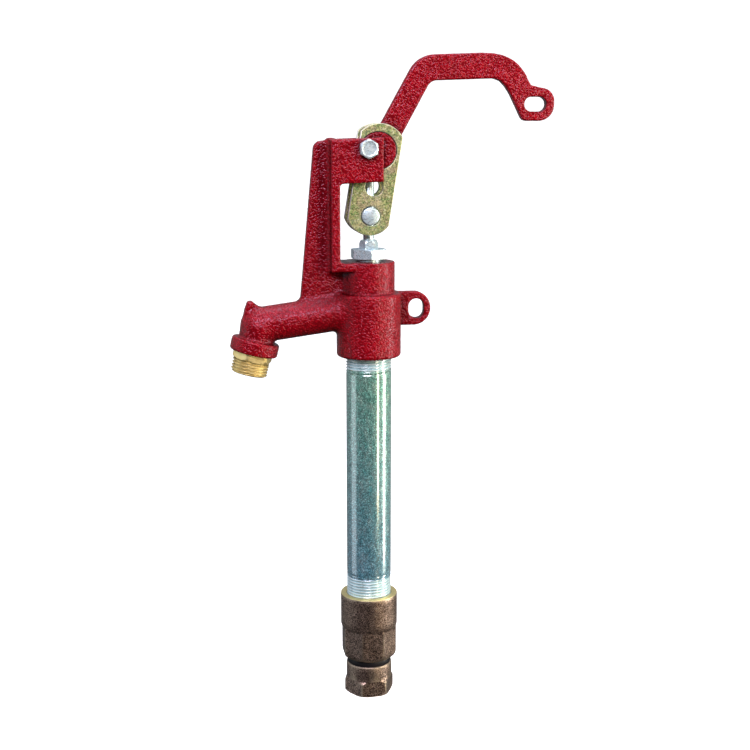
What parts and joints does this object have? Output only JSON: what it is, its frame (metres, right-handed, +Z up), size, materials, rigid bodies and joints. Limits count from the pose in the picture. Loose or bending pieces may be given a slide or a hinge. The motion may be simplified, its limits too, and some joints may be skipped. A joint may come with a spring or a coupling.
{
  "type": "frost-proof yard hydrant",
  "caption": "Lever-operated yard hydrant: red cast head with hose spout, forked lever mount, link and rod to a bottom valve on a galvanised riser.",
  "frame": {"origin": "on the riser axis at the bottom face of the inlet adapter", "axes": "+Z up the riser, +X towards the padlock lug and the closed handle, spout towards -X, fork symmetric about Y = 0"},
  "size_m": [0.238, 0.049, 0.4803],
  "materials": {
    "red_paint": "glossy textured red enamel over cast iron",
    "galvanised": "galvanised steel, satin, faintly spangled",
    "bronze": "dark cast bronze, dull",
    "brass": "machined brass, bright",
    "black_rubber": "matte black rubber",
    "packing": "graphited packing",
    "zinc": "bright zinc plated steel",
    "yellow_zinc": "yellow passivated zinc plated steel"
  },
  "bodies": {
    "root": {"head_casting": "red_paint", "riser_pipe": "galvanised", "valve_body": "bronze", "valve_seat": "brass", "body_gasket": "black_rubber", "inlet_adapter": "bronze", "hose_nozzle": "brass", "gland_body": "zinc", "gland_follower": "brass", "packing_rings": "packing", "gland_nut": "zinc", "pivot_bolt": "zinc", "pivot_washer": "zinc", "pivot_nut": "zinc"},
    "handle": {"handle": "red_paint"},
    "link": {"link_plate_front": "yellow_zinc", "link_plate_rear": "yellow_zinc"},
    "link_pin": {"link_pin": "zinc"},
    "rod": {"operating_rod": "zinc", "rod_locknut": "zinc", "plunger_body": "brass", "plunger_o_rings": "black_rubber", "plunger_seal": "black_rubber", "plunger_screw": "zinc"}
  },
  "joints": [
    {"name": "handle_hinge", "type": "hinge", "parent": "root", "child": "handle", "pos_m": [-0.0025, 0, 0.4133], "axis": [0, 1, 0], "range_deg": [0, 86]},
    {"name": "link_hinge", "type": "hinge", "parent": "handle", "child": "link", "pos_m": [0.0055, 0, 0.4119], "axis": [0, 1, 0], "range_deg": [-97, 1]},
    {"name": "pin_hinge", "type": "hinge", "parent": "link", "child": "link_pin", "pos_m": [0, 0, 0.36573], "axis": [0, 1, 0], "range_deg": [-1, 11]},
    {"name": "rod_slide", "type": "slide", "parent": "root", "child": "rod", "axis": [0, 0, 1], "range_m": [-0.007, 0.0001]}
  ],
  "couplings": [
    {"joint": "link_hinge", "follows": "handle_hinge", "ratio": -1.113},
    {"joint": "pin_hinge", "follows": "handle_hinge", "ratio": 0.113},
    {"joint": "rod_slide", "follows": "handle_hinge", "m_per_rad": -0.004589}
  ]
}
